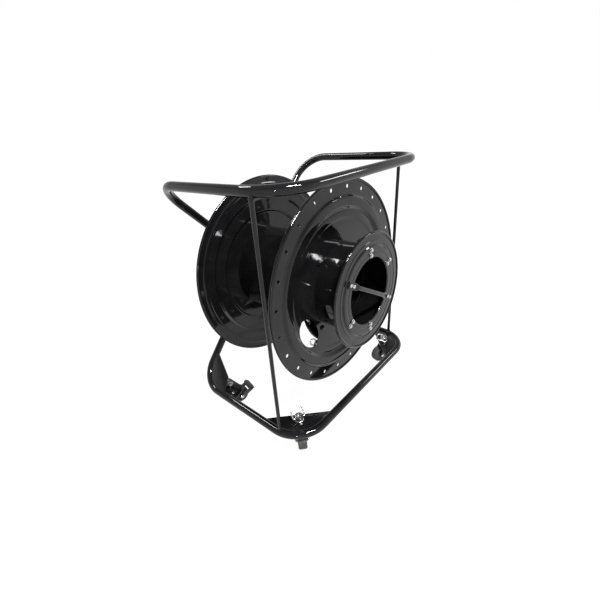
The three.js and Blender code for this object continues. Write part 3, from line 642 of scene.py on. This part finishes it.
def cheek(outline, low, high, radius=2.0):
    """A flat side plate standing in the castor's trail plane."""
    return moved(prism(eased(outline, radius, 5), -high, -low), Matrix.Rotation(math.radians(90), 4, "X"))


def upright(outline, segments=48):
    return moved(spun(outline, segments), Matrix.Rotation(math.radians(90), 4, "X"))


def add_castor(name, x, y, heading):
    at = Matrix.Translation((x, y, 0)) @ Matrix.Rotation(math.radians(heading), 4, "Z")
    fork_body, wheel_body = "castor_" + name, "wheel_" + name
    top = 68 if name.startswith("front") else 66
    stem = upright(eased([(0.01, 51.7), (13, 51.7), (13, 54.7), (5, 54.7), (5, top), (0.01, top)],
                         (0, 0.8, 0.8, 0.3, 0.8, 0)))
    add(f"castor_stem_{name}_turned", stem, ZINC, "frame", ["castor_stem_" + name], at=at)

    race = upright(eased([(0.01, 44.5), (12.4, 44.5), (14, 46.4), (14, 49.6), (12.6, 51.1), (0.01, 51.1)],
                         (0, 1, 1, 1, 1, 0)))
    side = [(-8, 50.4), (7, 50.4), (9, 44), (23, 32), (26, 24), (24, 16), (14, 15), (-7, 40)]
    bridge = prism([(-8, -13.2), (7, -13.2), (7, 13.2), (-8, 13.2)], 47.6, 50.4)
    fork = together(race, bridge, cheek(side, 11.2, 13.4, 3), cheek(side, -13.4, -11.2, 3))
    add(f"castor_fork_{name}_bent", fork, PAINT, fork_body, ["castor_fork_" + name], at=at, bevel=0.35)

    centre = Matrix.Translation((TRAIL, 0, WHEEL_RADIUS))
    tyre = spun(eased([(14.5, -9.4), (20, -10), (22, -7.4), (22, 7.4), (20, 10), (14.5, 9.4)],
                      (0.3, 1.2, 2, 2, 1.2, 0.3), 6), 72)
    disc = spun(eased([(3.4, -10.8), (7, -10.8), (7.6, -8), (13, -6.6), (14.6, -9.2), (14.6, 9.2), (13, 6.6),
                       (7.6, 8), (7, 10.8), (3.4, 10.8)], 0.5, 3), 72)
    add(f"castor_tyre_{name}", tyre, RUBBER, wheel_body, ["castor_wheel_" + name], at=at @ centre)
    add(f"castor_disc_{name}", disc, PLASTIC, wheel_body, at=at @ centre)

    head = 16.2 if name.startswith("rear") else 13.7
    cap = loft([circle_at(5 * s, 6, h) for s, h in ((1, 0), (1, 2.3), (0.88, 3))])
    axle = together(
        moved(cap, facing_y(0, -head, 0)),
        moved(cap, Matrix.Translation((0, head, 0)) @ Matrix.Rotation(math.radians(-90), 4, "X")),
        spun([(3, -head - 1), (3, head + 1)], 24, solid=True))
    add(f"castor_axle_{name}_bolt", axle, ZINC, fork_body, ["castor_axle_" + name], at=at @ centre, bevel=0.25)

    if name.startswith("rear"):
        arm = [(15, 18), (23, 15), (56, 29), (52, 37), (18, 27)]
        tread = [(45, 26), (58, 30), (56, 36.5), (48, 41.5), (43, 38)]
        ribs = [cheek([(x, z), (x + 1.6, z + 0.4), (x + 1.2, z + 2.0), (x - 0.2, z + 1.4)], -13.5, 13.5, 0.3)
                for x, z in ((49.4, 39.6), (52.2, 37.9), (54.6, 35.8))]
        pedal = together(cheek(arm, 13.7, 15.9), cheek(arm, -15.9, -13.7), cheek(tread, -15.9, 15.9), *ribs)
        add(f"castor_pedal_{name}_moulded", pedal, PLASTIC, "pedal_" + name, ["castor_pedal_" + name], at=at,
            bevel=0.4)


# ------------------------------------------------------------------ stem nuts and bails
def add_stem_hardware():
    for name, side in (("left", -1), ("right", 1)):
        at = Matrix.Translation((side * 210, 100, 59.3))
        nut = loft([circle_at(9 * s, 6, h) for s, h in ((0.94, 0), (1, 0.6), (1, 5.2), (0.9, 6))])
        add(f"stem_nut_rear_{name}_hex", nut, ZINC, "frame", ["stem_nut_rear_" + name], at=at, bevel=0.3)
    for name, side, lift in (("left", -1, 52), ("right", 1, 12)):
        place = Matrix.Translation((side * 190, -120, 0))
        barrel = upright(eased([(5.3, 59.3), (10, 59.3), (10, 61), (9, 61.6), (9, 69.6), (10, 70.2), (10, 71.3),
                                (5.3, 71.3)], 0.4, 3))
        add(f"latch_barrel_{name}_turned", barrel, ZINC, "frame", ["latch_barrel_" + name], at=place)
        line = bent([(-10.2, 0, 0), (-14, 0, 0), (-14, 20, 0), (14, 20, 0), (14, 0, 0), (10.2, 0, 0)],
                    (1.8, 5, 5, 1.8), 6)
        turn = (Matrix.Translation((0, 0, 66)) @ Matrix.Rotation(math.radians(side * 20), 4, "Z")
                @ Matrix.Rotation(math.radians(lift), 4, "X"))
        add(f"latch_bail_{name}_wire", rod(line, 1.8, 16), ZINC, "bail_" + name, ["latch_bail_" + name],
            at=place @ turn)


add_frame()
add_hub()
add_brake()
add_flanges()
add_core()
add_compartment()
add_grip_bar()
add_cable_anchor()
add_corner_plates()
for name, (x, y, heading) in CASTORS.items():
    add_castor(name, x, y, heading)
add_stem_hardware()


# ------------------------------------------------------------------ camera, floor and light
def add_camera():
    azimuth, elevation, roll = (math.radians(a) for a in (-46.62, 26.8, -5.27))
    back = Vector((math.sin(azimuth) * math.cos(elevation), -math.cos(azimuth) * math.cos(elevation),
                   math.sin(elevation)))
    right = Vector((math.cos(azimuth), math.sin(azimuth), 0))
    up = back.cross(right)
    right, up = (right * math.cos(roll) + up * math.sin(roll), up * math.cos(roll) - right * math.sin(roll))
    data = bpy.data.cameras.new("camera")
    data.sensor_width, data.lens = 36, 20.52
    data.clip_start, data.clip_end = 0.01, 100
    camera = bpy.data.objects.new("camera", data)
    camera.matrix_world = Matrix((right, up, back)).transposed().to_4x4()
    camera.matrix_world.translation = (-0.57955, -0.52355, 0.63929)
    scene.collection.objects.link(camera)
    scene.camera = camera


def add_floor():
    data = bpy.data.meshes.new("floor")
    data.from_pydata([(-20, -20, 0), (20, -20, 0), (20, 20, 0), (-20, 20, 0)], [], [(0, 1, 2, 3)])
    floor = bpy.data.objects.new("floor", data)
    data.materials.append(pale_floor())
    scene.collection.objects.link(floor)


def add_softbox(name, place, aim, width, height, power):
    data = bpy.data.lights.new(name, "AREA")
    data.shape, data.size, data.size_y, data.energy = "RECTANGLE", width, height, power
    lamp = bpy.data.objects.new(name, data)
    lamp.location = place
    lamp.rotation_euler = (Vector(aim) - Vector(place)).to_track_quat("-Z", "Y").to_euler()
    scene.collection.objects.link(lamp)


def add_world():
    """White round the horizon and below, dim overhead, so that the gloss has something dark to reflect."""
    world = bpy.data.worlds.new("studio")
    world.use_nodes = True
    tree = world.node_tree
    place = tree.nodes.new("ShaderNodeTexCoord")
    split = tree.nodes.new("ShaderNodeSeparateXYZ")
    ramp = tree.nodes.new("ShaderNodeValToRGB")
    points = ramp.color_ramp.elements
    points.new(0.5)
    for point, (position, value) in zip(points, ((0.28, 1.0), (0.5, 0.46), (0.9, 0.40))):
        point.position, point.color = position, (value, value, value, 1)
    tree.links.new(place.outputs["Generated"], split.inputs["Vector"])
    tree.links.new(split.outputs["Z"], ramp.inputs["Fac"])
    tree.links.new(ramp.outputs["Color"], tree.nodes["Background"].inputs["Color"])
    scene.world = world


add_camera()
add_floor()
add_world()
REEL_CENTRE = (0, 0, 0.3)
for name, place, aim, width, height, power in (
        ("ceiling_tube_near", (-0.40, -1.68, 2.7), REEL_CENTRE, 0.8, 0.16, 240),
        ("ceiling_tube_far", (0.0, -2.25, 2.7), REEL_CENTRE, 0.42, 0.10, 60),
        ("ceiling_panel_behind", (-0.3, 1.75, 2.7), REEL_CENTRE, 0.3, 0.7, 34),
        ("low_window", (-2.17, -1.52, 0.57), (0, 0, 0.33), 0.07, 0.07, 12),
        ("right_window", (2.4, -1.75, 1.75), (0, 0, 0.4), 0.7, 0.3, 20)):
    add_softbox(name, place, aim, width, height, power)
scene.view_settings.view_transform = "Standard"
